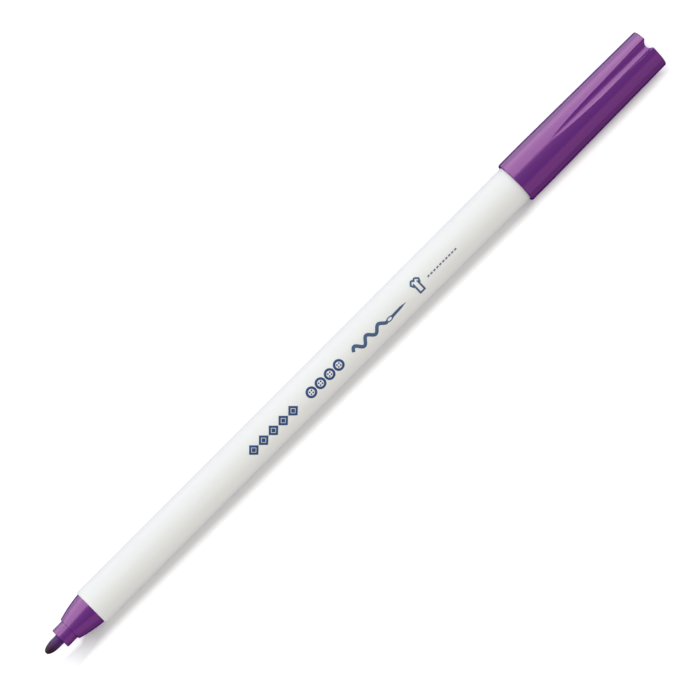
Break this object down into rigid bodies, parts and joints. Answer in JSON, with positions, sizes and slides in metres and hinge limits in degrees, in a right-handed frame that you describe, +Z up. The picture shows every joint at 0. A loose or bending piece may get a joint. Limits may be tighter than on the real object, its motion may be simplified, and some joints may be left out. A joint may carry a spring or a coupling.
{
  "type": "fabric marking pen",
  "caption": "Fibre-tip fabric marking pen with a bell-shaped nib holder, a plain round barrel and a grooved cap posted on its rear end.",
  "frame": {"origin": "middle of the pen's length, on the surface that it lies on, below its axis", "axes": "+X along the pen from the nib to the cap, +Z up"},
  "size_m": [0.1632, 0.0094, 0.0093],
  "materials": {
    "barrel": "satin white moulded polypropylene",
    "end_plug": "satin white moulded polypropylene",
    "nib_holder": "glossy purple moulded polypropylene",
    "nib": "ink-soaked bonded fibre",
    "ink_reservoir": "ink-soaked polyester fibre",
    "reservoir_film": "thin clear film",
    "cap_shell": "glossy purple moulded polypropylene",
    "cap_seal": "soft natural polyethylene"
  },
  "bodies": {
    "pen": {"barrel": "barrel", "end_plug": "end_plug", "nib_holder": "nib_holder", "nib": "nib", "ink_reservoir": "ink_reservoir", "reservoir_film": "reservoir_film"},
    "cap": {"cap_shell": "cap_shell", "cap_seal": "cap_seal"}
  },
  "joints": [
    {"name": "cap_pull_off", "type": "slide", "parent": "pen", "child": "cap", "axis": [1, 0, 0], "range_m": [0, 0.02]}
  ]
}
